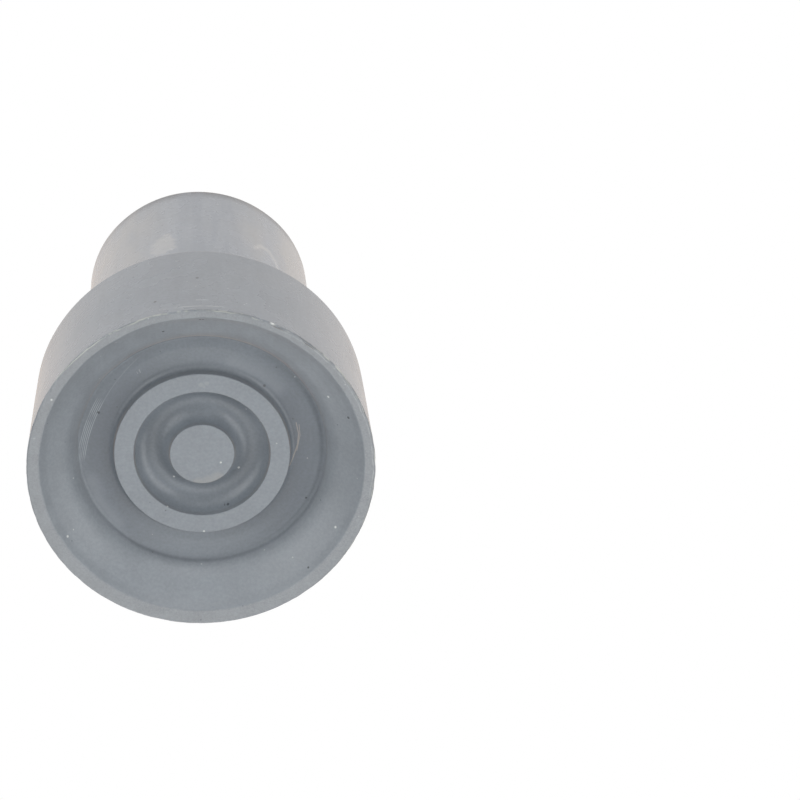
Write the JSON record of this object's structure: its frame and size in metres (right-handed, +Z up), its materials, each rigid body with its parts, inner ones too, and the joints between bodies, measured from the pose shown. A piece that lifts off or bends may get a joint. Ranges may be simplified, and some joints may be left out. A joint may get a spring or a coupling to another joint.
{
  "type": "rubber cane tip",
  "caption": "Round grey rubber tip for the foot of a walking cane: blind push-on socket above, dished tread with a lip, a ring and a boss below.",
  "frame": {"origin": "centre of the tip on the ground, in the plane of the tread's lip", "axes": "+Z up along the socket's axis, out of its mouth; the tip is round, so X and Y are free"},
  "size_m": [0.048, 0.048, 0.064],
  "materials": {
    "grey_rubber": "matt, as moulded"
  },
  "bodies": {
    "root": {"cane_tip": "grey_rubber"}
  },
  "joints": []
}
